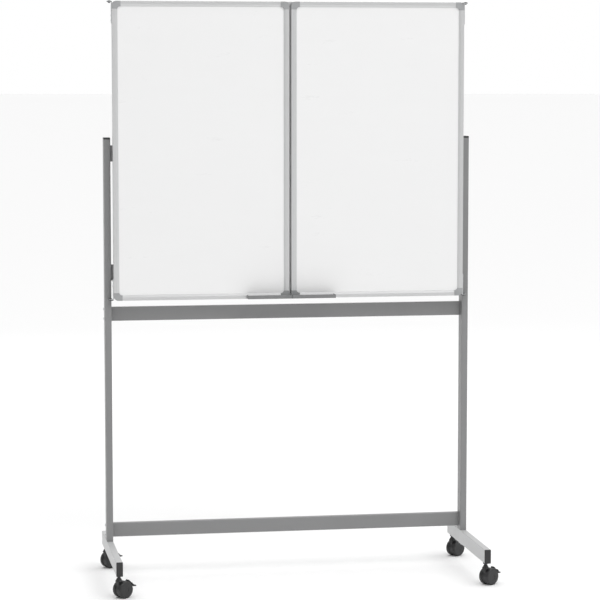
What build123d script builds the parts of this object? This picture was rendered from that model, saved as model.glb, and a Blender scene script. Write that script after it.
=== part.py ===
from build123d import *
import os
from math import cos, radians, sin

# Folding whiteboard on a wheeled stand. A fixed centre board stands between two uprights, and two wings
# hinged on its outer edges close over it. Millimetres, +Z up, -Y is the front. The origin is on the
# floor, on the board's centreline, midway along the feet.

# Boards
board_width = 1200.0  # the closed pair of wings
board_height = 1000.0
board_bottom = 950.0  # above the floor
wing_front = 45.0  # front face of the closed wings
wing_thickness = 16.0
wing_gap = 7.0  # between the free edges of the closed wings
leaf_gap = 2.0  # between a closed wing and the centre board
centre_thickness = 18.0
centre_inset = 2.0  # the centre board is this much narrower at each side

# Aluminium frame section and the panel it holds
frame_face = 18.5
frame_flat = 11.0
frame_lip = 0.8
frame_wall = 1.2
frame_edge_radius = 0.9
panel_recess = 3.3
panel_bite = 9.0  # how far the panel's edge enters the frame
panel_play = 0.1
sheet_thickness = 0.8

# Moulded frame corners
corner_leg_x = 29.0
corner_leg_z = 26.0
corner_radius = 15.0
corner_proud = 0.2
corner_hollow = 1.9  # how far the inner edge bows towards the outer corner
tenon_length = 12.0
tenon_play = 0.15

# Pen tray, one half on each wing
tray_half_length = 150.0
tray_seam = 1.0
tray_depth = 40.0
tray_height = 11.6
tray_wall = 2.0
tray_lift = 2.2  # above the wing's lower edge
tray_flange_height = 8.3
tray_round = 0.8
tray_screw_inset = 50.0

# Hinges
pivot_out = 7.5  # pivot axis beyond the wing's edge
pivot_back = 14.0  # pivot axis behind the wing's front
leaf_thickness = 2.0
leaf_length = 74.0
leaf_leg_width = 12.0
fixed_leaf_inset = 1.0  # behind the centre board's front
tab_radius = 7.0
tab_step = 0.3  # between the fixed tab and the wing's tab
tab_inset = 0.2  # tabs below the board's top edge
pin_radius = 2.5
pin_head_radius = 4.0
pin_head_height = 1.2
pin_press = 0.05
pin_play = 0.1
pin_tail = 1.0

# Stand tubes
tube_thin = 21.5
tube_deep = 47.0
tube_wall = 1.5
tube_radius = 2.0
upright_clear = 5.3  # from the wings' outer edge to the upright
upright_front = 77.0
upright_top = 1490.0
foot_length = 547.0
foot_bottom = 78.0
lower_rail_lift = 11.6  # above the foot's top
upper_rail_top = 923.7
cap_height = 6.0
foot_cap_thickness = 4.0
cap_plug_length = 15.0
plug_play = 0.2
rail_plug_length = 30.0
upright_plug_length = 40.0

# Bolts and screws
rail_bolt_radius = 3.0
rail_bolt_head_radius = 5.5
rail_bolt_head_height = 3.2
rail_bolt_pitch = 33.0
rail_bolt_grip = 18.0  # length inside the rail's plug
foot_bolt_radius = 4.0
foot_bolt_head_radius = 6.5
foot_bolt_head_height = 5.0
foot_bolt_pitch = 24.0
foot_bolt_grip = 14.0  # length inside the upright's plug
socket_across = 0.7  # hexagon socket's corner radius, as a share of the bolt's
socket_depth = 0.6  # as a share of the head's height
bolt_play = 0.2
screw_radius = 1.75
screw_head_radius = 2.6
screw_head_height = 1.6
cross_width = 0.5
cross_depth = 0.8
screw_tail = 2.6  # beyond the wall it is driven into
screw_play = 0.1
head_taper = 18.0
leaf_screw_first = 9.0  # from the end of the leaf
leaf_screw_pitch = 17.0

# Brackets between the centre board and the uprights
bracket_height = 54.0
bracket_thickness = 2.5
bracket_overlap = 12.0
bracket_depth = 36.0
bracket_screw_pitch = 30.0
bracket_screw_inset = 4.0
lower_bracket_centre = 1043.0
upper_bracket_centre = 1443.0

# Twin-wheel swivel casters with a brake pedal
caster_inset = 31.0  # from the end of the foot
caster_turn = 32.7  # trail direction at rest, from +X towards +Y
trail = 16.0
wheel_radius = 28.0
wheel_width = 14.0
wheel_round = 5.0
wheel_inner_round = 1.0
hub_radius = 9.0
hub_depth = 0.8
web_width = 13.0
web_radius = 26.0
web_gap = 0.5
axle_radius = 3.0
axle_play = 0.06
axle_reach = 12.0  # into each wheel
axle_end_play = 0.3
hood_inner = 30.0
hood_outer = 32.5
hood_width = 40.0
hood_start = 26.0  # degrees round the axle, from the trail direction upwards
hood_end = 44.0
rib_start = 32.0  # the narrow fin that carries the hood
rib_end = 58.0
rib_outer = 35.5
boss_top = 69.0
boss_base_gap = 1.0  # above the wheels
boss_base_radius = 12.5
boss_top_radius = 5.6
boss_bury = 1.0  # how far the post under the boss enters it
stud_radius = 5.0
stud_top = 96.0
stud_play = 0.05
pintle_radius = 4.0
pintle_bottom = 40.0
pintle_play = 0.1
pintle_end_play = 0.3
stud_step = 0.3
nut_height = 6.0
nut_flat = 8.0
brake_pivot_out = 19.0  # from the axle, along the trail
brake_pivot_up = 9.0
brake_arm_thickness = 4.0
brake_arm_width = 5.6
brake_arm_end = 60.0
brake_drop = 2.0
brake_eye_radius = 4.0
brake_slot_gap = 0.5
brake_slot_low = 7.0
brake_slot_high = 5.5
brake_pin_radius = 1.5
brake_pin_play = 0.1
brake_pin_end_play = 0.1
pedal_length = 11.0
pedal_width = 16.0
pedal_thickness = 4.0
pedal_round = 1.4

# Places that follow from the sizes above
board_top = board_bottom + board_height
half_width = board_width / 2
wing_back = wing_front + wing_thickness
centre_front = wing_back + leaf_gap
centre_back = centre_front + centre_thickness
centre_half = half_width - centre_inset
groove_floor = frame_face - panel_bite
chamber_end = groove_floor - frame_wall
chamber_middle = (frame_wall + chamber_end) / 2
pivot_x = half_width + pivot_out
pivot_y = wing_front + pivot_back
upright_inner = half_width + upright_clear
upright_x = upright_inner + tube_thin / 2
upright_back = upright_front + tube_deep
upright_y = (upright_front + upright_back) / 2
foot_top = foot_bottom + tube_deep
lower_rail_bottom = foot_top + lower_rail_lift
upper_rail_bottom = upper_rail_top - tube_deep
rail_y = upright_back - tube_thin / 2
caster_y = foot_length / 2 - caster_inset
sides = (("left", -1), ("right", 1))
ends = (("front", -1), ("rear", 1))

os.makedirs("parts", exist_ok=True)


def write(name, finished):
    finished.label = name
    export_step(finished, f"parts/{name}.step")


def facing_back(y):
    """Plane at y whose normal is +Y: local x is -X, local y is +Z."""
    return Plane(origin=(0, y, 0), x_dir=(-1, 0, 0), z_dir=(0, 1, 0))


def box_between(low, high, mode=Mode.ADD):
    """A box from one corner to the other, drawn on its lower face."""
    with BuildSketch(Plane.XY.offset(low[2])) as base:
        with Locations((low[0], low[1])):
            Rectangle(high[0] - low[0], high[1] - low[1], align=(Align.MIN, Align.MIN))
    extrude(base.sketch, amount=high[2] - low[2], mode=mode)


# ---------------------------------------------------------------- screws


def pan_screws(planes, wall):
    """Pan-head screws, each with its head on a plane and its shank going against the plane's normal."""
    with BuildPart() as group:
        for plane in planes:
            with BuildSketch(plane):
                Circle(screw_head_radius)
            extrude(amount=screw_head_height, taper=head_taper)
            with BuildSketch(plane):
                Circle(screw_radius)
            extrude(amount=-(wall + frame_wall + screw_tail))
            with BuildSketch(plane.offset(screw_head_height)):
                Rectangle(screw_head_radius, cross_width)
                Rectangle(cross_width, screw_head_radius)
            extrude(amount=-cross_depth, mode=Mode.SUBTRACT)
    return group.part


def side_plane(x, y, z, normal):
    """Plane on a side face at x, looking along +X or -X."""
    return Plane(origin=(x, y, z), x_dir=(0, 1, 0), z_dir=(normal, 0, 0))


def level_plane(x, y, z, normal):
    """Plane on a front or back face, looking along +Y or -Y."""
    return Plane(origin=(x, y, z), x_dir=(1, 0, 0), z_dir=(0, normal, 0))


def drill(planes, radius, depth):
    """Holes going against the normal of each plane, with a little air in front."""
    for plane in planes:
        with BuildSketch(plane) as hole:
            Circle(radius)
        extrude(hole.sketch, amount=-depth, mode=Mode.SUBTRACT)


leaf_screw_heights = []
for pitch in range(2):
    reach = leaf_length - leaf_screw_first - pitch * leaf_screw_pitch
    leaf_screw_heights += [board_bottom + tab_inset + reach, board_top - tab_inset - reach]


def leaf_screw_planes(side, edge, y):
    """Where the hinge screws' heads sit on the leaves of one side."""
    return [side_plane(side * (edge + leaf_thickness), y, z, side) for z in leaf_screw_heights]


wing_leaf_y = pivot_y - leaf_leg_width / 2
fixed_leaf_front = centre_front + fixed_leaf_inset
fixed_leaf_y = fixed_leaf_front + leaf_leg_width / 2
tray_back = wing_front - corner_proud
tray_screw_z = board_bottom + tray_lift + tray_wall + screw_head_radius + screw_play


def tray_screw_planes(side):
    y = tray_back - tray_wall
    near = tray_seam / 2 + tray_screw_inset
    far = tray_half_length - tray_screw_inset / 2
    return [level_plane(side * x, y, tray_screw_z, -1) for x in (near, far)]


bracket_screw_heights = []
for centre in (lower_bracket_centre, upper_bracket_centre):
    bracket_screw_heights += [centre - bracket_screw_pitch / 2, centre + bracket_screw_pitch / 2]


def bracket_board_planes(side):
    x = side * (centre_half - bracket_screw_inset)
    return [level_plane(x, centre_back + bracket_thickness, z, 1) for z in bracket_screw_heights]


def bracket_upright_planes(side):
    x = side * (upright_inner - bracket_thickness)
    return [side_plane(x, upright_y, z, -side) for z in bracket_screw_heights]


# ---------------------------------------------------------------- boards


def frame_profile(thickness):
    """Section of the frame: x runs from the outer edge inwards, y through the board."""
    with BuildSketch() as profile:
        with BuildLine():
            Polyline(
                (0, 0),
                (frame_flat, 0),
                (frame_face, panel_recess - frame_lip),
                (frame_face, panel_recess),
                (groove_floor, panel_recess),
                (groove_floor, thickness - panel_recess),
                (frame_face, thickness - panel_recess),
                (frame_face, thickness - panel_recess + frame_lip),
                (frame_flat, thickness),
                (0, thickness),
                close=True,
            )
        make_face()
        fillet(profile.vertices().group_by(Axis.X)[0], frame_edge_radius)
        with Locations((chamber_middle, thickness / 2)):
            Rectangle(chamber_end - frame_wall, thickness - 2 * frame_wall, mode=Mode.SUBTRACT)
    return profile.sketch


def frame_lengths(profile, planes, length, drilled):
    """Two opposite lengths of the frame, with their screw holes."""
    with BuildPart() as lengths:
        for plane in planes:
            with BuildSketch(plane):
                add(profile)
            extrude(amount=length)
        drill(drilled, screw_radius + screw_play, bracket_thickness + frame_wall + screw_tail + screw_play)
    return lengths.part


def frame_corners(left, right, front, thickness):
    """Four moulded corners, each with a tenon into the stile and one into the rail."""
    tenon_low = frame_wall + tenon_play
    tenon_high = chamber_end - tenon_play
    with BuildPart() as corners:
        for x, inward_x in ((left, 1), (right, -1)):
            for z, inward_z in ((board_bottom, 1), (board_top, -1)):
                facing = -inward_x * inward_z
                y = front if facing > 0 else front + thickness
                face = Plane(origin=(x, y, z), x_dir=(inward_x, 0, 0), z_dir=(0, facing, 0))
                bend = corner_radius * (1 - cos(radians(45)))
                middle_x = (corner_leg_x + frame_face) / 2 - corner_hollow
                middle_z = (corner_leg_z + frame_face) / 2 - corner_hollow
                with BuildSketch(face.offset(-corner_proud)):
                    with BuildLine():
                        Line((0, corner_leg_z), (0, corner_radius))
                        ThreePointArc((0, corner_radius), (bend, bend), (corner_radius, 0))
                        Line((corner_radius, 0), (corner_leg_x, 0))
                        Line((corner_leg_x, 0), (corner_leg_x, frame_face))
                        ThreePointArc(
                            (corner_leg_x, frame_face), (middle_x, middle_z), (frame_face, corner_leg_z)
                        )
                        Line((frame_face, corner_leg_z), (0, corner_leg_z))
                    make_face()
                extrude(amount=thickness + 2 * corner_proud)
                with BuildSketch(face.offset(panel_recess)):
                    with Locations((groove_floor, groove_floor)):
                        Rectangle(corner_leg_x, corner_leg_z, align=(Align.MIN, Align.MIN))
                extrude(amount=thickness - 2 * panel_recess, mode=Mode.SUBTRACT)
                with BuildSketch(face.offset(tenon_low)):
                    with Locations((tenon_low, corner_leg_z)):
                        Rectangle(tenon_high - tenon_low, tenon_length, align=(Align.MIN, Align.MIN))
                    with Locations((corner_leg_x, tenon_low)):
                        Rectangle(tenon_length, tenon_high - tenon_low, align=(Align.MIN, Align.MIN))
                extrude(amount=thickness - 2 * tenon_low)
    return corners.part


def make_board(name, left, right, front, thickness, stile_holes, rail_holes):
    """A framed panel: stiles, rails, corners, two steel sheets and the core between them."""
    profile = frame_profile(thickness)
    stile_length = board_height - 2 * corner_leg_z
    rail_length = right - left - 2 * corner_leg_x
    stile_planes = (
        Plane(origin=(left, front, board_bottom + corner_leg_z), x_dir=(1, 0, 0), z_dir=(0, 0, 1)),
        Plane(origin=(right, front, board_top - corner_leg_z), x_dir=(-1, 0, 0), z_dir=(0, 0, -1)),
    )
    rail_planes = (
        Plane(origin=(right - corner_leg_x, front, board_bottom), x_dir=(0, 0, 1), z_dir=(-1, 0, 0)),
        Plane(origin=(left + corner_leg_x, front, board_top), x_dir=(0, 0, -1), z_dir=(1, 0, 0)),
    )
    write(f"{name}_stiles", frame_lengths(profile, stile_planes, stile_length, stile_holes))
    write(f"{name}_rails", frame_lengths(profile, rail_planes, rail_length, rail_holes))
    write(f"{name}_corners", frame_corners(left, right, front, thickness))

    inset = groove_floor + panel_play
    low = (left + inset, board_bottom + inset)
    high = (right - inset, board_top - inset)
    panel_front = front + panel_recess + panel_play
    panel_back = front + thickness - panel_recess - panel_play
    with BuildPart() as sheets:
        box_between((low[0], panel_front, low[1]), (high[0], panel_front + sheet_thickness, high[1]))
        box_between((low[0], panel_back - sheet_thickness, low[1]), (high[0], panel_back, high[1]))
    write(f"{name}_sheets", sheets.part)
    with BuildPart() as core:
        core_front = panel_front + sheet_thickness
        core_back = panel_back - sheet_thickness
        box_between((low[0], core_front, low[1]), (high[0], core_back, high[1]))
    write(f"{name}_core", core.part)


# ---------------------------------------------------------------- hinges


def hinge_leaves(side, edge, leg_front, tab_top_inset, hole_radius, drilled, back_edge):
    """The upper and lower leaf on one side: a leg screwed to the frame and a tab round the pivot."""
    with BuildPart() as leaves:
        for end in (-1, 1):
            limit = board_top if end > 0 else board_bottom
            outer = limit - end * tab_top_inset
            inner = limit - end * (tab_inset + leaf_length)
            low, high = sorted((outer, inner))
            near, far = sorted((side * edge, side * (edge + leaf_thickness)))
            box_between((near, leg_front, low), (far, leg_front + leaf_leg_width, high))
            tab_low = min(outer, outer - end * leaf_thickness)
            with BuildSketch(Plane.XY.offset(tab_low)):
                with Locations((side * pivot_x, pivot_y)):
                    Circle(tab_radius)
                left, right = sorted((side * edge, side * pivot_x))
                front = leg_front if leg_front > pivot_y else pivot_y - tab_radius
                with Locations((left, front)):
                    Rectangle(right - left, back_edge - front, align=(Align.MIN, Align.MIN))
                if leg_front > pivot_y:
                    with Locations((side * pivot_x, (pivot_y + back_edge) / 2)):
                        Rectangle(2 * tab_radius, back_edge - pivot_y)
                with Locations((side * pivot_x, pivot_y)):
                    Circle(hole_radius, mode=Mode.SUBTRACT)
            extrude(amount=leaf_thickness)
        drill(drilled, screw_radius + screw_play, leaf_thickness)
    return leaves.part


wing_tab_inset = tab_inset + leaf_thickness + tab_step
collar_top = wing_tab_inset + leaf_thickness + tab_step
with BuildPart() as pins:
    for _, side in sides:
        for end in (-1, 1):
            limit = board_top if end > 0 else board_bottom
            level = Plane(origin=(side * pivot_x, pivot_y, limit), x_dir=(1, 0, 0), z_dir=(0, 0, end))
            with BuildSketch(level.offset(-tab_inset)):
                Circle(pin_head_radius)
            extrude(amount=pin_head_height)
            with BuildSketch(level.offset(-tab_inset)):
                Circle(pin_radius)
            extrude(amount=-(collar_top + pin_head_height + pin_tail))
            with BuildSketch(level.offset(-collar_top)):
                Circle(pin_head_radius)
            extrude(amount=-pin_head_height)
write("hinge_pins", pins.part)


# ---------------------------------------------------------------- centre board

centre_stile_holes = []
for _, side in sides:
    centre_stile_holes += leaf_screw_planes(side, centre_half, fixed_leaf_y)
    centre_stile_holes += bracket_board_planes(side)
make_board(
    "centre_board", -centre_half, centre_half, centre_front, centre_thickness, centre_stile_holes, []
)

fixed_leaf_back = fixed_leaf_front + leaf_leg_width
with BuildPart() as fixed_leaves:
    for _, side in sides:
        screws = leaf_screw_planes(side, centre_half, fixed_leaf_y)
        bore = pin_radius + pin_press
        add(hinge_leaves(side, centre_half, fixed_leaf_front, tab_inset, bore, screws, fixed_leaf_back))
write("centre_hinge_leaves", fixed_leaves.part)

with BuildPart() as brackets:
    for _, side in sides:
        for centre in (lower_bracket_centre, upper_bracket_centre):
            low = centre - bracket_height / 2
            high = centre + bracket_height / 2
            near, far = sorted((side * (centre_half - bracket_overlap), side * upright_inner))
            box_between((near, centre_back, low), (far, centre_back + bracket_thickness, high))
            near, far = sorted((side * (upright_inner - bracket_thickness), side * upright_inner))
            box_between((near, centre_back, low), (far, centre_back + bracket_depth, high))
    for _, side in sides:
        drill(bracket_board_planes(side), screw_radius + screw_play, bracket_thickness)
        drill(bracket_upright_planes(side), screw_radius + screw_play, bracket_thickness)
write("board_brackets", brackets.part)

with BuildPart() as board_screws:
    for _, side in sides:
        add(pan_screws(leaf_screw_planes(side, centre_half, fixed_leaf_y), leaf_thickness))
        add(pan_screws(bracket_board_planes(side), bracket_thickness))
        add(pan_screws(bracket_upright_planes(side), bracket_thickness))
write("board_screws", board_screws.part)


# ---------------------------------------------------------------- wings


def make_tray(side):
    """Half a pen tray: floor, front lip, end walls and the flange screwed to the wing's lower rail."""
    near, far = tray_seam / 2, tray_half_length
    left, right = sorted((side * near, side * far))
    front = tray_back - tray_depth
    bottom = board_bottom + tray_lift
    with BuildPart() as tray:
        box_between((left, front, bottom), (right, tray_back, bottom + tray_height))
        fillet(tray.faces().sort_by(Axis.Y)[0].edges(), tray_round)
        hollow_low = (left + tray_wall, front + tray_wall, bottom + tray_wall)
        hollow_high = (right - tray_wall, tray_back - tray_wall, bottom + 2 * tray_height)
        box_between(hollow_low, hollow_high, Mode.SUBTRACT)
        flange_top = bottom + tray_flange_height
        cut_low = (left - tray_wall, tray_back - tray_wall, flange_top)
        cut_high = (right + tray_wall, tray_back + tray_wall, bottom + 2 * tray_height)
        box_between(cut_low, cut_high, Mode.SUBTRACT)
        drill(tray_screw_planes(side), screw_radius + screw_play, tray_wall)
    return tray.part


for word, side in sides:
    name = f"wing_{word}"
    left, right = sorted((side * wing_gap / 2, side * half_width))
    leaf_planes = leaf_screw_planes(side, half_width, wing_leaf_y)
    make_board(name, left, right, wing_front, wing_thickness, leaf_planes, tray_screw_planes(side))
    write(f"{name}_pen_tray", make_tray(side))
    leg_front = pivot_y - leaf_leg_width
    bore = pin_radius + pin_play
    leaves = hinge_leaves(side, half_width, leg_front, wing_tab_inset, bore, leaf_planes, wing_back)
    write(f"{name}_hinge_leaves", leaves)
    with BuildPart() as wing_screws:
        add(pan_screws(leaf_planes, leaf_thickness))
        add(pan_screws(tray_screw_planes(side), tray_wall))
    write(f"{name}_screws", wing_screws.part)


# ---------------------------------------------------------------- stand


def tube_profile(plane, middle=(0, 0)):
    """Section of the rounded rectangular tube."""
    bore_thin = tube_thin - 2 * tube_wall
    bore_deep = tube_deep - 2 * tube_wall
    with BuildSketch(plane) as profile:
        with Locations(middle):
            RectangleRounded(tube_thin, tube_deep, tube_radius)
            RectangleRounded(bore_thin, bore_deep, tube_radius / 2, mode=Mode.SUBTRACT)
    return profile.sketch


def plug_profile(plane, middle=(0, 0), bolt_radius=0, pitch=0):
    """Section of a plug that fits inside the tube, with two bolt holes along its length if asked."""
    inset = 2 * (tube_wall + plug_play)
    with BuildSketch(plane) as profile:
        with Locations(middle):
            RectangleRounded(tube_thin - inset, tube_deep - inset, tube_radius / 2)
        if bolt_radius:
            x, y = middle
            with Locations((x, y - pitch / 2), (x, y + pitch / 2)):
                Circle(bolt_radius + bolt_play, mode=Mode.SUBTRACT)
    return profile.sketch


rail_bottoms = {"lower": lower_rail_bottom, "upper": upper_rail_bottom}
rail_bolt_heights = []
for low in rail_bottoms.values():
    middle = low + tube_deep / 2
    rail_bolt_heights += [middle - rail_bolt_pitch / 2, middle + rail_bolt_pitch / 2]


def rail_bolt_planes(side):
    x = side * (upright_inner + tube_thin)
    return [side_plane(x, rail_y, z, side) for z in rail_bolt_heights]


def foot_bolt_planes(side):
    """Where the bolts' heads sit under the foot, looking down."""
    planes = []
    for end in (-1, 1):
        y = upright_y + end * foot_bolt_pitch / 2
        planes.append(Plane(origin=(side * upright_x, y, foot_bottom), x_dir=(1, 0, 0), z_dir=(0, 0, -1)))
    return planes


def bolts(planes, radius, head_radius, head_height, shank, hexagon):
    """Bolts with their heads on the planes; the heads are hexagons or round with a hexagon socket."""
    with BuildPart() as group:
        for plane in planes:
            with BuildSketch(plane):
                if hexagon:
                    RegularPolygon(head_radius, 6, major_radius=False)
                else:
                    Circle(head_radius)
            extrude(amount=head_height, taper=0 if hexagon else head_taper)
            if not hexagon:
                with BuildSketch(plane.offset(head_height)):
                    RegularPolygon(radius * socket_across, 6)
                extrude(amount=-head_height * socket_depth, mode=Mode.SUBTRACT)
            with BuildSketch(plane):
                Circle(radius)
            extrude(amount=-shank)
    return group.part


for word, side in sides:
    with BuildPart() as upright:
        section = tube_profile(Plane.XY.offset(foot_top), (side * upright_x, upright_y))
        extrude(section, amount=upright_top - foot_top)
        drill(rail_bolt_planes(side), rail_bolt_radius + bolt_play, tube_thin)
        drill(bracket_upright_planes(side), screw_radius + screw_play, bracket_thickness + tube_wall)
    write(f"upright_{word}", upright.part)

for word, low in rail_bottoms.items():
    with BuildPart() as rail:
        section = tube_profile(Plane.YZ.offset(-upright_inner), (rail_y, low + tube_deep / 2))
        extrude(section, amount=2 * upright_inner)
    write(f"{word}_rail", rail.part)

with BuildPart() as plugs:
    for _, side in sides:
        for low in rail_bottoms.values():
            start = Plane.YZ.offset(side * upright_inner)
            middle = (rail_y, low + tube_deep / 2)
            section = plug_profile(start, middle, rail_bolt_radius, rail_bolt_pitch)
            extrude(section, amount=-side * rail_plug_length)
        middle = (side * upright_x, upright_y)
        section = plug_profile(Plane.XY.offset(foot_top), middle, foot_bolt_radius, foot_bolt_pitch)
        extrude(section, amount=upright_plug_length)
        drill(rail_bolt_planes(side)[:2], rail_bolt_radius + bolt_play, tube_thin)
write("tube_plugs", plugs.part)

rail_bolt_shank = tube_thin + rail_bolt_grip
foot_bolt_shank = tube_deep + foot_bolt_grip
with BuildPart() as rail_bolts:
    for _, side in sides:
        add(
            bolts(
                rail_bolt_planes(side),
                rail_bolt_radius,
                rail_bolt_head_radius,
                rail_bolt_head_height,
                rail_bolt_shank,
                False,
            )
        )
write("rail_bolts", rail_bolts.part)

with BuildPart() as foot_bolts:
    for _, side in sides:
        add(
            bolts(
                foot_bolt_planes(side),
                foot_bolt_radius,
                foot_bolt_head_radius,
                foot_bolt_head_height,
                foot_bolt_shank,
                True,
            )
        )
write("foot_bolts", foot_bolts.part)

with BuildPart() as upright_caps:
    for _, side in sides:
        middle = (side * upright_x, upright_y)
        with BuildSketch(Plane.XY.offset(upright_top)):
            with Locations(middle):
                RectangleRounded(tube_thin, tube_deep, tube_radius)
        extrude(amount=cap_height)
        extrude(plug_profile(Plane.XY.offset(upright_top), middle), amount=-cap_plug_length)
    top_edges = upright_caps.faces().group_by(Axis.Z)[-1].edges()
    fillet(top_edges, tube_radius / 2)
write("upright_caps", upright_caps.part)

foot_middle_z = foot_bottom + tube_deep / 2
tube_start = foot_length / 2 - foot_cap_thickness
for word, side in sides:
    with BuildPart() as foot:
        section = tube_profile(facing_back(-tube_start), (-side * upright_x, foot_middle_z))
        extrude(section, amount=2 * tube_start)
        drill(foot_bolt_planes(side), foot_bolt_radius + bolt_play, tube_deep)
        for _, end in ends:
            with BuildSketch(Plane.XY.offset(foot_bottom)):
                with Locations((side * upright_x, end * caster_y)):
                    Circle(stud_radius + bolt_play)
            extrude(amount=tube_wall, mode=Mode.SUBTRACT)
    write(f"foot_{word}", foot.part)


def foot_cap(face):
    """End cap: a rounded plate on the face and a plug behind it."""
    with BuildPart() as cap:
        with BuildSketch(face):
            RectangleRounded(tube_thin, tube_deep, tube_radius)
        extrude(amount=foot_cap_thickness)
        extrude(plug_profile(face), amount=-cap_plug_length)
        fillet(cap.faces().sort_by(Axis(face.origin, face.z_dir))[-1].edges(), tube_radius / 2)
    return cap.part


with BuildPart() as foot_caps:
    for _, side in sides:
        for _, end in ends:
            add(foot_cap(level_plane(side * upright_x, end * tube_start, foot_middle_z, end)))
write("foot_end_caps", foot_caps.part)


# ---------------------------------------------------------------- casters

caster_places = []
for end_word, end in ends:
    for side_word, side in sides:
        caster_places.append((f"caster_{end_word}_{side_word}", side * upright_x, end * caster_y))

trail_way = (cos(radians(caster_turn)), sin(radians(caster_turn)), 0)
axle_way = (trail_way[1], -trail_way[0], 0)
stud_bottom = boss_top + stud_step

with BuildPart() as studs:
    for _, x, y in caster_places:
        with BuildSketch(Plane.XY.offset(stud_bottom)):
            with Locations((x, y)):
                Circle(stud_radius)
        extrude(amount=stud_top - stud_bottom)
        with BuildSketch(Plane.XY.offset(pintle_bottom)):
            with Locations((x, y)):
                Circle(pintle_radius)
        extrude(amount=stud_bottom - pintle_bottom)
write("caster_studs", studs.part)

with BuildPart() as nuts:
    for _, x, y in caster_places:
        for low in (foot_bottom - nut_height, foot_bottom + tube_wall):
            with BuildSketch(Plane.XY.offset(low)):
                with Locations((x, y)):
                    RegularPolygon(nut_flat, 6, major_radius=False, rotation=90)
                    Circle(stud_radius + stud_play, mode=Mode.SUBTRACT)
            extrude(amount=nut_height)
write("caster_nuts", nuts.part)


def caster_housing(side_face, level):
    """Web between the wheels, hood over their backs and the swivel boss on the stud's axis."""
    middle = (trail, wheel_radius)
    boss_base = 2 * wheel_radius + boss_base_gap
    with BuildPart() as housing:
        with BuildSketch(side_face):
            with Locations(middle):
                Circle(web_radius)
            with Locations((0, wheel_radius)):
                Rectangle(web_width, boss_base + boss_bury - wheel_radius, align=(Align.CENTER, Align.MIN))
            with BuildLine():
                rib = CenterArc(middle, rib_outer, rib_start, rib_end - rib_start)
                Line(middle, rib @ 0)
                Line(rib @ 1, middle)
            make_face()
        extrude(amount=web_width / 2, both=True)
        with BuildSketch(side_face):
            with BuildLine():
                outer = CenterArc(middle, hood_outer, hood_start, hood_end - hood_start)
                inner = CenterArc(middle, hood_inner, hood_start, hood_end - hood_start)
                Line(outer @ 0, inner @ 0)
                Line(outer @ 1, inner @ 1)
            make_face()
        extrude(amount=hood_width / 2, both=True)
        with BuildSketch(level.offset(boss_base)):
            Circle(boss_base_radius)
        with BuildSketch(level.offset(boss_top)):
            Circle(boss_top_radius)
        loft()
        with BuildSketch(level.offset(pintle_bottom - pintle_end_play)):
            Circle(pintle_radius + pintle_play)
        extrude(amount=boss_top, mode=Mode.SUBTRACT)
        with BuildSketch(side_face):
            with Locations(middle):
                Circle(axle_radius + pin_press)
            with Locations((trail + brake_pivot_out, wheel_radius + brake_pivot_up)):
                Circle(brake_pin_radius + brake_pin_play)
        extrude(amount=web_width, both=True, mode=Mode.SUBTRACT)
        with BuildSketch(side_face):
            low = wheel_radius + brake_pivot_up - brake_slot_low
            near = trail + brake_pivot_out - brake_eye_radius - 2 * brake_slot_gap
            with Locations((near, low)):
                Rectangle(hood_outer, brake_slot_low + brake_slot_high, align=(Align.MIN, Align.MIN))
        extrude(amount=brake_arm_width / 2 + brake_slot_gap, both=True, mode=Mode.SUBTRACT)
    return housing.part


def caster_wheel(side_face, hand):
    """One domed wheel, with a blind bore for the axle and a sunk hub face."""
    inner = hand * (web_width / 2 + web_gap)
    with BuildPart() as wheel:
        with BuildSketch(side_face.offset(inner)):
            with Locations((trail, wheel_radius)):
                Circle(wheel_radius)
        extrude(amount=hand * wheel_width)
        flat_faces = wheel.faces().filter_by(GeomType.PLANE).sort_by(Axis(side_face.origin, axle_way))
        inner_face, outer_face = (flat_faces[0], flat_faces[-1])[::hand]
        fillet(outer_face.edges(), wheel_round)
        fillet(inner_face.edges(), wheel_inner_round)
        with BuildSketch(side_face.offset(inner + hand * wheel_width)):
            with Locations((trail, wheel_radius)):
                Circle(hub_radius)
        extrude(amount=-hand * hub_depth, mode=Mode.SUBTRACT)
        with BuildSketch(side_face.offset(inner)):
            with Locations((trail, wheel_radius)):
                Circle(axle_radius + axle_play)
        extrude(amount=hand * (axle_reach + axle_end_play - web_gap), mode=Mode.SUBTRACT)
    return wheel.part


def caster_brake(side_face):
    """Brake lever: an arm on its cross pin, ending in a flat pedal."""
    pivot = (trail + brake_pivot_out, wheel_radius + brake_pivot_up)
    tip = (brake_arm_end, pivot[1] - brake_drop)
    with BuildPart() as brake:
        with BuildSketch(side_face):
            with Locations(pivot):
                Circle(brake_eye_radius)
            with BuildLine():
                Polyline(
                    (pivot[0], pivot[1] + brake_arm_thickness / 2),
                    (tip[0], tip[1] + brake_arm_thickness / 2),
                    (tip[0], tip[1] - brake_arm_thickness / 2),
                    (pivot[0], pivot[1] - brake_arm_thickness / 2),
                    close=True,
                )
            make_face()
        extrude(amount=brake_arm_width / 2, both=True)
        with BuildSketch(side_face):
            with Locations(tip):
                RectangleRounded(pedal_length, pedal_thickness, pedal_round)
        extrude(amount=pedal_width / 2, both=True)
        with BuildSketch(side_face):
            with Locations(pivot):
                Circle(brake_pin_radius)
        extrude(amount=web_width / 2 - brake_pin_end_play, both=True)
    return brake.part


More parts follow.
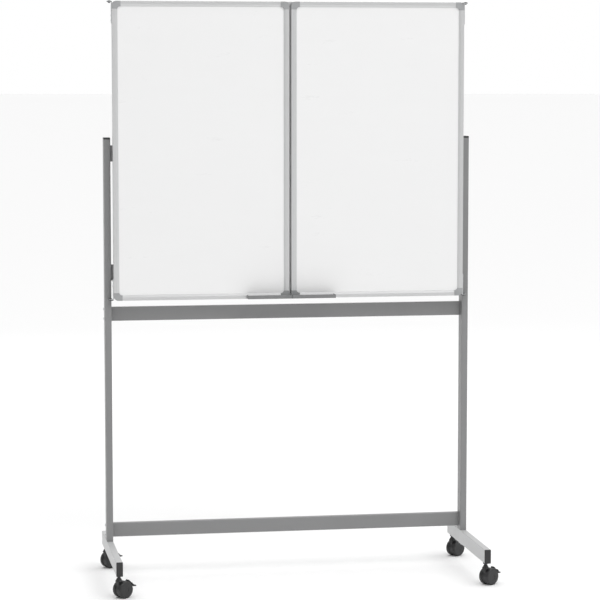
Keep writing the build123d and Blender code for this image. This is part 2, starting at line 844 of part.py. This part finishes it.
for name, x, y in caster_places:
    side_face = Plane(origin=(x, y, 0), x_dir=trail_way, z_dir=axle_way)
    level = Plane(origin=(x, y, 0), x_dir=trail_way, z_dir=(0, 0, 1))
    write(f"{name}_housing", caster_housing(side_face, level))
    with BuildPart() as axle:
        with BuildSketch(side_face):
            with Locations((trail, wheel_radius)):
                Circle(axle_radius)
        extrude(amount=web_width / 2 + axle_reach, both=True)
    write(f"{name}_axle", axle.part)
    write(f"{name}_wheel_1", caster_wheel(side_face, 1))
    write(f"{name}_wheel_2", caster_wheel(side_face, -1))
    write(f"{name}_brake_lever", caster_brake(side_face))
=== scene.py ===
import math

import bpy
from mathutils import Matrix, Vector


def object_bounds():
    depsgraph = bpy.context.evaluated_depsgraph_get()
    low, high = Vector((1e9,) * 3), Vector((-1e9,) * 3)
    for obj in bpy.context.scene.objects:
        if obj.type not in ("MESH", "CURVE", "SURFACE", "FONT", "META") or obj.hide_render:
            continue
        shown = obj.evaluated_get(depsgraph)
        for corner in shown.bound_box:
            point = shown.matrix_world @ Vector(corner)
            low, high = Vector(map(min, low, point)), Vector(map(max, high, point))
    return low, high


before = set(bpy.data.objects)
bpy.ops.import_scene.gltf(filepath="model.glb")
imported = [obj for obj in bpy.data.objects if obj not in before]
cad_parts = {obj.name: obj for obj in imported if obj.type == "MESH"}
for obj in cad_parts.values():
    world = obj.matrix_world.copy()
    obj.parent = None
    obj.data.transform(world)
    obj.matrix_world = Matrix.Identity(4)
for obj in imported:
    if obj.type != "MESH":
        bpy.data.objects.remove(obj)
cad_low, cad_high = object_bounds()

# ---------------------------------------------------------------- camera
CAMERA_PLACE = Vector((-1.302, -7.840, 1.709))
CAMERA_YAW = math.radians(9.61)      # turned from straight ahead, towards +X
CAMERA_PITCH = math.radians(5.47)    # looking down
CAMERA_LENS = 141.8                  # mm
CAMERA_SENSOR = 36.0                 # mm wide
CAMERA_REACH = 200.0                 # m, how far it sees

# ---------------------------------------------------------------- light, in watts, and watts/m2 for the sky
DOME_LEFT = 0.30                     # the dome's brightness on the object's left and on its right
DOME_RIGHT = 0.70
SKY_LIGHT = 1.65                     # a very wide overhead light, which whitens the whole floor
SKY_SPREAD = math.radians(100.0)
SOFTBOX_SIZE = 4.0                   # m, the side of a square lamp
KEY_PLACE = (2.0, -5.0, 6.5)
KEY_POWER = 135.0
BACK_PLACE = (0.0, 6.0, 4.0)
BACK_POWER = 30.0

# ---------------------------------------------------------------- floor
FLOOR_RADIUS = 400.0                 # m, so that it runs past what the camera sees
FLOOR_SIDES = 64
FLOOR_ROUGHNESS = 0.9
FLOOR_COLOUR = (0.95, 0.95, 0.95, 1.0)
WHITE = (1.0, 1.0, 1.0, 1.0)

# ---------------------------------------------------------------- scales of surface detail, in metres
EDGE_WIDTH = 0.0007                  # how far in from an edge the rubbing shows
PLATED_EDGE_WIDTH = 0.0003
EDGE_BREAKS = 0.012                  # the patches that break a rubbed edge up
SPARK_GRAIN = 0.0006                 # mould texture of the plastics
PLASTIC_BLOTCH = 0.03                # uneven shade of moulded plastic
PLASTIC_SMEAR = 0.008                # uneven gloss of moulded plastic
ORANGE_PEEL = 0.0016                 # ripple of powder coat
PAINT_FLECK = 0.0007                 # metallic speckle in powder coat
PAINT_SMEAR = 0.02                   # uneven gloss of powder coat
DRAW_LINE = 0.0005                   # lines along an extrusion
CLOUD = 0.25                         # slow change of shade over a long piece
WIPE_BAND = 0.05                     # the bands that a cloth leaves on the enamel
ENAMEL_FINE = 0.002                  # fine streaks within those bands
ENAMEL_WAVE = 0.02                   # the enamel's slow waviness
PLATE_CLOUD = 0.006                  # spangle of plated steel
PLATE_GRAIN = 0.0003
WOOD_FIBRE = 0.002

# ---------------------------------------------------------------- heights of the bumps, in metres
SPARK_HEIGHT = 0.00003
PEEL_HEIGHT = 0.00006
LINE_HEIGHT = 0.00002
WAVE_HEIGHT = 0.00003
PLATE_HEIGHT = 0.00001
FIBRE_HEIGHT = 0.0002

# ---------------------------------------------------------------- stretch of a pattern along X, Y and Z
LENGTHWAYS = 60.0                    # how much longer than wide a draw line is
ALONG_UPRIGHT = (1.0, 1.0, LENGTHWAYS)
ALONG_LEVEL = (LENGTHWAYS, 1.0, 1.0)
ALONG_WIPE = (3.5, 1.0, 0.8)
ALONG_FINE = (6.0, 1.0, 1.0)
ALONG_FIBRE = (4.0, 1.0, 2.0)

# ---------------------------------------------------------------- where an edge is rubbed
BEVEL_SAMPLES = 4
SHARP_TURN = 0.72                    # cosine of the rounded to the flat normal, where rubbing is full
NO_TURN = 0.97                       # and where it ends
PATCH_STARTS = 0.40                  # the noise above which a patch of edge begins to be rubbed
PATCH_FULL = 0.62                    # and above which it is rubbed in full

# ---------------------------------------------------------------- sockets of the colour Mix node
MIX_A = 6
MIX_B = 7
MIX_RESULT = 2


class Graph:
    """A material's node tree, with the few nodes that every surface here shares."""

    def __init__(self, name, colour, roughness, metallic=0.0, **settings):
        self.material = bpy.data.materials.new(name)
        self.material.use_nodes = True
        self.tree = self.material.node_tree
        self.shader = self.tree.nodes["Principled BSDF"]
        self.shader.inputs["Base Color"].default_value = (*colour, 1.0)
        self.shader.inputs["Roughness"].default_value = roughness
        self.shader.inputs["Metallic"].default_value = metallic
        for socket, value in settings.items():
            self.shader.inputs[socket.replace("_", " ")].default_value = value
        self.material.diffuse_color = (*colour, 1.0)
        self.place = self.node("ShaderNodeTexCoord").outputs["Object"]

    def feed(self, socket, value, constant=lambda number: number):
        """Link value to the socket if it comes from a node, or else write it there."""
        if isinstance(value, bpy.types.NodeSocket):
            self.tree.links.new(value, socket)
        else:
            socket.default_value = constant(value)

    def node(self, kind, links=(), **attributes):
        made = self.tree.nodes.new(kind)
        for attribute, value in attributes.items():
            setattr(made, attribute, value)
        for socket, value in dict(links).items():
            self.feed(made.inputs[socket], value)
        return made

    def noise(self, size, detail=2.0, stretch=(1.0, 1.0, 1.0)):
        """Noise whose features are about size metres across, times stretch along each axis."""
        scale = tuple(1.0 / (size * along) for along in stretch)
        mapped = self.node("ShaderNodeMapping", {"Vector": self.place, "Scale": scale})
        links = {"Vector": mapped.outputs[0], "Scale": 1.0, "Detail": detail}
        return self.node("ShaderNodeTexNoise", links).outputs[0]

    def remap(self, value, low, high, start=0.25, stop=0.75):
        """Low where value is start, high where it is stop."""
        links = {"Value": value, "From Min": start, "From Max": stop, "To Min": low, "To Max": high}
        return self.node("ShaderNodeMapRange", links).outputs[0]

    def calculate(self, operation, a, b):
        return self.node("ShaderNodeMath", {0: a, 1: b}, operation=operation, use_clamp=True).outputs[0]

    def mix(self, factor, a, b):
        made = self.node("ShaderNodeMix", {0: factor}, data_type="RGBA")
        for socket, value in ((MIX_A, a), (MIX_B, b)):
            self.feed(made.inputs[socket], value, lambda colour: (*colour, 1.0))
        return made.outputs[MIX_RESULT]

    def edges(self, width=EDGE_WIDTH):
        """1 on the sharp edges and 0 on the flats, in patches. Keeps the rounded normal for bumps."""
        rounded = self.node("ShaderNodeBevel", {"Radius": width}, samples=BEVEL_SAMPLES)
        self.normal = rounded.outputs[0]
        flat = self.node("ShaderNodeNewGeometry").outputs["Normal"]
        alike = self.node("ShaderNodeVectorMath", {0: self.normal, 1: flat}, operation="DOT_PRODUCT")
        sharp = self.remap(alike.outputs["Value"], low=1.0, high=0.0, start=SHARP_TURN, stop=NO_TURN)
        noise = self.noise(EDGE_BREAKS, detail=4.0)
        patches = self.remap(noise, low=0.0, high=1.0, start=PATCH_STARTS, stop=PATCH_FULL)
        return self.calculate("MULTIPLY", sharp, patches)

    def bump(self, height, distance, strength=0.5):
        links = {"Height": height, "Distance": distance, "Strength": strength, "Normal": self.normal}
        self.drive("Normal", self.node("ShaderNodeBump", links).outputs[0])

    def drive(self, socket, value):
        self.tree.links.new(value, self.shader.inputs[socket])


def shade(colour, factor):
    return tuple(min(1.0, part * factor) for part in colour)


def moulded_plastic(name, colour, roughness):
    """Injection-moulded plastic: a fine spark-eroded grain, uneven shade, edges polished by hands."""
    dark, light, polished = shade(colour, 0.90), shade(colour, 1.10), shade(colour, 1.6)
    polish, gloss, spread = 0.5, 0.15, 0.06
    g = Graph(name, colour, roughness, Specular_IOR_Level=0.45)
    worn = g.edges()
    blotch = g.remap(g.noise(PLASTIC_BLOTCH, detail=3.0), low=0.0, high=1.0)
    tone = g.mix(blotch, dark, light)
    g.drive("Base Color", g.mix(g.calculate("MULTIPLY", worn, polish), tone, polished))
    smear = g.remap(g.noise(PLASTIC_SMEAR, detail=4.0), low=roughness - spread, high=roughness + spread)
    g.drive("Roughness", g.calculate("SUBTRACT", smear, g.calculate("MULTIPLY", worn, gloss)))
    g.bump(g.noise(SPARK_GRAIN), SPARK_HEIGHT)
    return g.material


def powder_coat(name, colour, roughness):
    """Powder-coated steel: orange peel, faint metallic speckle, and paint thinned to a paler edge."""
    dark, light, thinned = shade(colour, 0.96), shade(colour, 1.04), shade(colour, 2.0)
    wear, sparkle, spread = 0.35, 0.05, 0.05
    g = Graph(name, colour, roughness, metallic=0.12, Coat_Weight=0.15, Coat_Roughness=0.35)
    worn = g.edges()
    cloud = g.remap(g.noise(CLOUD, detail=3.0), low=0.0, high=1.0)
    tone = g.mix(cloud, dark, light)
    fleck = g.remap(g.noise(PAINT_FLECK, detail=0.0), low=0.0, high=sparkle, start=0.60, stop=0.75)
    pale = g.calculate("ADD", fleck, g.calculate("MULTIPLY", worn, wear))
    g.drive("Base Color", g.mix(pale, tone, thinned))
    smear = g.remap(g.noise(PAINT_SMEAR, detail=4.0), low=roughness - spread, high=roughness + spread)
    g.drive("Roughness", smear)
    g.bump(g.noise(ORANGE_PEEL, detail=1.0), PEEL_HEIGHT, strength=0.35)
    return g.material


def anodised(name, colour, roughness, stretch):
    """Satin anodised aluminium: draw lines along the extrusion, slow clouds and brighter rubbed edges."""
    dark, light, rubbed = shade(colour, 0.95), shade(colour, 1.04), shade(colour, 1.25)
    wear, clouding, smoother, rougher = 0.4, 0.10, 0.07, 0.10
    g = Graph(name, colour, roughness, metallic=0.45, Specular_IOR_Level=0.5)
    worn = g.edges()
    lines = g.noise(DRAW_LINE, detail=3.0, stretch=stretch)
    tone = g.mix(g.remap(lines, low=0.0, high=1.0, start=0.3, stop=0.7), dark, light)
    cloud = g.remap(g.noise(CLOUD, detail=2.0), low=0.0, high=clouding)
    clouded = g.mix(cloud, tone, shade(colour, 0.80))
    g.drive("Base Color", g.mix(g.calculate("MULTIPLY", worn, wear), clouded, rubbed))
    g.drive("Roughness", g.remap(lines, low=roughness - smoother, high=roughness + rougher))
    g.bump(lines, LINE_HEIGHT, strength=0.4)
    return g.material


def enamel(name, colour, roughness):
    """Enamelled steel: glossy, with a slow waviness, and duller bands where a cloth has wiped it."""
    dulled, rubbed = shade(colour, 0.985), shade(colour, 0.8)
    dulling, wear, smoother, rougher = 0.5, 0.2, 0.04, 0.07
    g = Graph(name, colour, roughness, Coat_Weight=0.3, Coat_Roughness=0.08)
    worn = g.edges()
    wiped = g.noise(WIPE_BAND, detail=3.0, stretch=ALONG_WIPE)
    tone = g.mix(g.remap(wiped, low=0.0, high=dulling), colour, dulled)
    g.drive("Base Color", g.mix(g.calculate("MULTIPLY", worn, wear), tone, rubbed))
    streaks = g.remap(g.noise(ENAMEL_FINE, detail=4.0, stretch=ALONG_FINE), low=-0.02, high=0.03)
    bands = g.remap(wiped, low=roughness - smoother, high=roughness + rougher)
    g.drive("Roughness", g.calculate("ADD", bands, streaks))
    g.bump(g.noise(ENAMEL_WAVE, detail=1.0), WAVE_HEIGHT, strength=0.25)
    return g.material


def plated_steel(name, colour, roughness, metallic=0.95):
    """Plated steel: lightly clouded, with a fine grain and brighter rubbed edges."""
    dark, rubbed = shade(colour, 0.82), shade(colour, 1.15)
    smoother, rougher = 0.05, 0.10
    g = Graph(name, colour, roughness, metallic=metallic)
    worn = g.edges(PLATED_EDGE_WIDTH)
    cloud = g.remap(g.noise(PLATE_CLOUD, detail=4.0), low=0.0, high=1.0)
    tone = g.mix(cloud, dark, colour)
    g.drive("Base Color", g.mix(worn, tone, rubbed))
    gloss = g.remap(cloud, low=roughness + rougher, high=roughness - smoother, start=0.0, stop=1.0)
    g.drive("Roughness", gloss)
    g.bump(g.noise(PLATE_GRAIN), PLATE_HEIGHT, strength=0.4)
    return g.material


def fibre_board(name, colour, roughness):
    """Pressed wood-fibre core: matted flecks, no shine."""
    dark, light = shade(colour, 0.75), shade(colour, 1.2)
    g = Graph(name, colour, roughness)
    g.edges()
    flecks = g.noise(WOOD_FIBRE, detail=5.0, stretch=ALONG_FIBRE)
    g.drive("Base Color", g.mix(g.remap(flecks, low=0.0, high=1.0), dark, light))
    g.drive("Roughness", g.remap(flecks, low=roughness, high=1.0))
    g.bump(flecks, FIBRE_HEIGHT, strength=0.6)
    return g.material


# ---------------------------------------------------------------- finishes, by the record's material slots
ALUMINIUM = (0.59, 0.593, 0.596)
ALUMINIUM_ROUGHNESS = 0.36
finishes = {
    "corner_plastic": moulded_plastic("moulded_grey", (0.33, 0.335, 0.34), 0.48),
    "whiteboard_enamel": enamel("white_enamel", (0.835, 0.835, 0.835), 0.30),
    "core_board": fibre_board("fibre_board", (0.30, 0.21, 0.13), 0.85),
    "tray_plastic": moulded_plastic("tray_grey", (0.20, 0.202, 0.205), 0.42),
    "steel_zinc": plated_steel("zinc_plate", (0.66, 0.67, 0.68), 0.28),
    "steel_dark": plated_steel("black_passivate", (0.055, 0.055, 0.06), 0.42, metallic=0.6),
    "upright_paint": powder_coat("grey_powder_coat", (0.235, 0.236, 0.238), 0.45),
    "foot_paint": powder_coat("pale_powder_coat", (0.52, 0.523, 0.526), 0.40),
    "black_plastic": moulded_plastic("black_moulding", (0.026, 0.026, 0.027), 0.45),
    "wheel_plastic": moulded_plastic("wheel_nylon", (0.024, 0.024, 0.025), 0.40),
}
upright_lines = anodised("anodised_upright", ALUMINIUM, ALUMINIUM_ROUGHNESS, ALONG_UPRIGHT)
level_lines = anodised("anodised_level", ALUMINIUM, ALUMINIUM_ROUGHNESS, ALONG_LEVEL)

# The wings' leaves are bright, unlike the record's slot for them: dark ones show as a strip by the wing.
# The slot that finishes lacks is frame_aluminium, whose draw lines follow the extrusion.
for name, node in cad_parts.items():
    for slot in node.material_slots:
        if name.startswith("wing") and name.endswith("hinge_leaves"):
            slot.material = finishes["steel_zinc"]
        elif slot.material.name in finishes:
            slot.material = finishes[slot.material.name]
        elif name.endswith("rails"):
            slot.material = level_lines
        else:
            slot.material = upright_lines


def add_object(name, data):
    made = bpy.data.objects.new(name, data)
    bpy.context.scene.collection.objects.link(made)
    return made


def make_floor():
    ring = [2 * math.pi * i / FLOOR_SIDES for i in range(FLOOR_SIDES)]
    points = [(FLOOR_RADIUS * math.cos(a), FLOOR_RADIUS * math.sin(a), 0.0) for a in ring]
    mesh = bpy.data.meshes.new("floor")
    mesh.from_pydata(points, [], [list(range(FLOOR_SIDES))])
    floor = add_object("floor", mesh)
    paint = bpy.data.materials.new("floor_paint")
    paint.use_nodes = True
    surface = paint.node_tree.nodes["Principled BSDF"]
    surface.inputs["Base Color"].default_value = FLOOR_COLOUR
    surface.inputs["Roughness"].default_value = FLOOR_ROUGHNESS
    mesh.materials.append(paint)


def make_world():
    """A studio dome, brighter towards +X; the camera sees it white, as a backdrop."""
    world = bpy.data.worlds.new("studio")
    bpy.context.scene.world = world
    world.use_nodes = True
    tree = world.node_tree
    direction = tree.nodes.new("ShaderNodeTexCoord")
    split = tree.nodes.new("ShaderNodeSeparateXYZ")
    across = tree.nodes.new("ShaderNodeMapRange")
    across.inputs["From Min"].default_value = -1.0
    across.inputs["To Min"].default_value = DOME_LEFT
    across.inputs["To Max"].default_value = DOME_RIGHT
    dome = tree.nodes["Background"]
    dome.inputs["Color"].default_value = WHITE
    backdrop = tree.nodes.new("ShaderNodeBackground")
    backdrop.inputs["Color"].default_value = WHITE
    mixed = tree.nodes.new("ShaderNodeMixShader")
    rays = tree.nodes.new("ShaderNodeLightPath")
    tree.links.new(direction.outputs["Generated"], split.inputs[0])
    tree.links.new(split.outputs["X"], across.inputs["Value"])
    tree.links.new(across.outputs[0], dome.inputs["Strength"])
    tree.links.new(rays.outputs["Is Camera Ray"], mixed.inputs[0])
    tree.links.new(dome.outputs[0], mixed.inputs[1])
    tree.links.new(backdrop.outputs[0], mixed.inputs[2])
    tree.links.new(mixed.outputs[0], tree.nodes["World Output"].inputs["Surface"])


def make_sky_light():
    data = bpy.data.lights.new("sky_light", "SUN")
    data.energy = SKY_LIGHT
    data.angle = SKY_SPREAD
    add_object("sky_light", data)


def make_softbox(name, place, power):
    """A square lamp that faces the middle of the object."""
    data = bpy.data.lights.new(name, "AREA")
    data.shape = "SQUARE"
    data.size = SOFTBOX_SIZE
    data.energy = power
    box = add_object(name, data)
    box.location = place
    middle = (cad_low + cad_high) / 2
    box.rotation_euler = (middle - box.location).to_track_quat("-Z", "Y").to_euler()


def make_camera():
    data = bpy.data.cameras.new("camera")
    data.lens = CAMERA_LENS
    data.sensor_width = CAMERA_SENSOR
    data.clip_end = CAMERA_REACH
    camera = add_object("camera", data)
    camera.location = CAMERA_PLACE
    camera.rotation_euler = (math.pi / 2 - CAMERA_PITCH, 0.0, -CAMERA_YAW)
    bpy.context.scene.camera = camera


make_floor()
make_world()
make_sky_light()
make_softbox("key_light", KEY_PLACE, KEY_POWER)
make_softbox("back_light", BACK_PLACE, BACK_POWER)
make_camera()
bpy.context.scene.view_settings.view_transform = "Standard"
